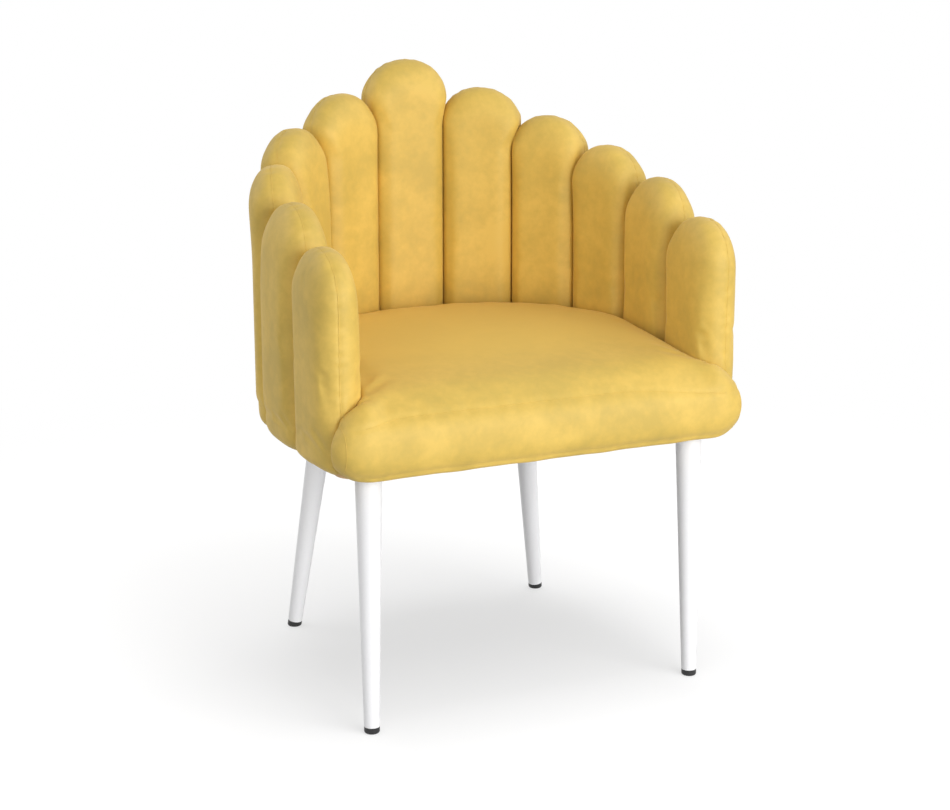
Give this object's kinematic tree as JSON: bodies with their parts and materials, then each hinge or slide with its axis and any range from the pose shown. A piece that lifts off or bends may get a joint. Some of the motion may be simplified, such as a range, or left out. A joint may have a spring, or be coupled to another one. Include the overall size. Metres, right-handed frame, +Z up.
{
  "type": "upholstered armchair",
  "caption": "Velvet armchair with a curved back and arms of rounded upright petals, a crowned seat with a full-width rolled front, and tapered white steel legs.",
  "frame": {"origin": "on the floor under the middle of the chair's outline", "axes": "+Z up, the chair faces -Y, +X towards the right-hand arm as seen from the front"},
  "size_m": [0.626, 0.544, 0.8501],
  "materials": {
    "velvet": "mustard yellow short-pile velvet",
    "foam": "open-cell polyurethane foam",
    "plywood": "raw birch plywood",
    "white_steel": "white satin powder coat",
    "black_plastic": "black moulded plastic",
    "dust_cloth": "black non-woven cloth",
    "zinc_steel": "bright zinc plate"
  },
  "bodies": {
    "root": {"back_rail": "plywood", "dust_cover": "dust_cloth", "foot_back_left": "black_plastic", "foot_back_right": "black_plastic", "foot_front_left": "black_plastic", "foot_front_right": "black_plastic", "leg_back_left": "white_steel", "leg_back_right": "white_steel", "leg_bolts": "zinc_steel", "leg_front_left": "white_steel", "leg_front_right": "white_steel", "leg_plate_back_left": "white_steel", "leg_plate_back_right": "white_steel", "leg_plate_front_left": "white_steel", "leg_plate_front_right": "white_steel", "petal_board_centre": "plywood", "petal_board_left_1": "plywood", "petal_board_left_2": "plywood", "petal_board_left_3": "plywood", "petal_board_left_4": "plywood", "petal_board_left_5": "plywood", "petal_board_right_1": "plywood", "petal_board_right_2": "plywood", "petal_board_right_3": "plywood", "petal_board_right_4": "plywood", "petal_board_right_5": "plywood", "petal_cover_centre": "velvet", "petal_cover_left_1": "velvet", "petal_cover_left_2": "velvet", "petal_cover_left_3": "velvet", "petal_cover_left_4": "velvet", "petal_cover_left_5": "velvet", "petal_cover_right_1": "velvet", "petal_cover_right_2": "velvet", "petal_cover_right_3": "velvet", "petal_cover_right_4": "velvet", "petal_cover_right_5": "velvet", "petal_foam_centre": "foam", "petal_foam_left_1": "foam", "petal_foam_left_2": "foam", "petal_foam_left_3": "foam", "petal_foam_left_4": "foam", "petal_foam_left_5": "foam", "petal_foam_right_1": "foam", "petal_foam_right_2": "foam", "petal_foam_right_3": "foam", "petal_foam_right_4": "foam", "petal_foam_right_5": "foam", "petal_screws": "zinc_steel", "rail_screws": "zinc_steel", "seat_board": "plywood", "seat_cover": "velvet", "seat_foam": "foam", "tee_nuts": "zinc_steel"}
  },
  "joints": []
}
